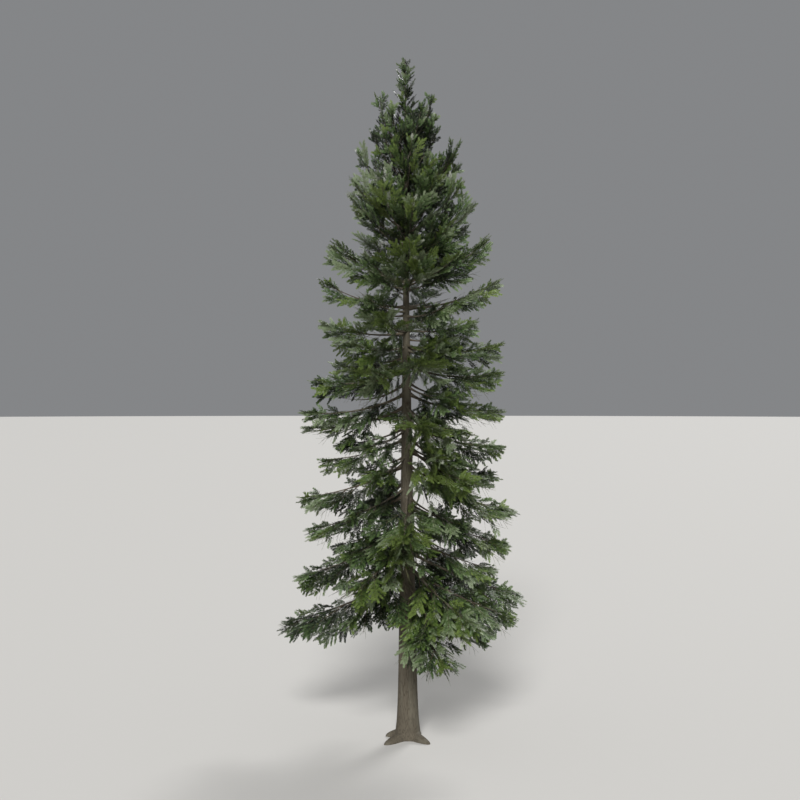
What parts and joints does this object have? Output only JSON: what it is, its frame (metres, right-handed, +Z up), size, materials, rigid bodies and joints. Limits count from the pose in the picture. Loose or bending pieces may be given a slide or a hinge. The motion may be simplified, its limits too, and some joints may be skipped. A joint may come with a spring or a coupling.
{
  "type": "fir tree",
  "caption": "Fir tree rooted in level ground: straight tapering trunk with root flare, drooping lower boughs, rising upper boughs and sprays of needles.",
  "frame": {"origin": "middle of the flat cut under the trunk, at ground level", "axes": "+Z up along the trunk, -Y towards the side that the picture shows, +X to that view's right"},
  "size_m": [4.3782, 3.9745, 12],
  "materials": {
    "bark": "rough, finely furrowed grey-brown bark",
    "needles": "satin dark green needles"
  },
  "bodies": {
    "root": {"bough_left_01": "bark", "bough_left_02": "bark", "bough_left_03": "bark", "bough_left_04": "bark", "bough_left_05": "bark", "bough_right_01": "bark", "bough_right_02": "bark", "bough_right_03": "bark", "bough_right_04": "bark", "bough_right_05": "bark", "bough_right_06": "bark", "needles_back_01": "needles", "needles_back_02": "needles", "needles_back_03": "needles", "needles_back_04": "needles", "needles_back_05": "needles", "needles_back_06": "needles", "needles_back_07": "needles", "needles_back_08": "needles", "needles_back_09": "needles", "needles_back_10": "needles", "needles_front_01": "needles", "needles_front_02": "needles", "needles_front_03": "needles", "needles_front_04": "needles", "needles_front_05": "needles", "needles_front_06": "needles", "needles_front_07": "needles", "needles_front_08": "needles", "needles_front_09": "needles", "needles_front_10": "needles", "needles_leader": "needles", "needles_left_01": "needles", "needles_left_02": "needles", "needles_left_03": "needles", "needles_left_04": "needles", "needles_left_05": "needles", "needles_left_06": "needles", "needles_left_07": "needles", "needles_left_08": "needles", "needles_left_09": "needles", "needles_left_10": "needles", "needles_left_11": "needles", "needles_left_12": "needles", "needles_left_13": "needles", "needles_right_01": "needles", "needles_right_02": "needles", "needles_right_03": "needles", "needles_right_04": "needles", "needles_right_05": "needles", "needles_right_06": "needles", "needles_right_07": "needles", "needles_right_08": "needles", "needles_right_09": "needles", "needles_right_10": "needles", "needles_right_11": "needles", "needles_right_12": "needles", "needles_right_13": "needles", "needles_right_14": "needles", "trunk": "bark"}
  },
  "joints": []
}
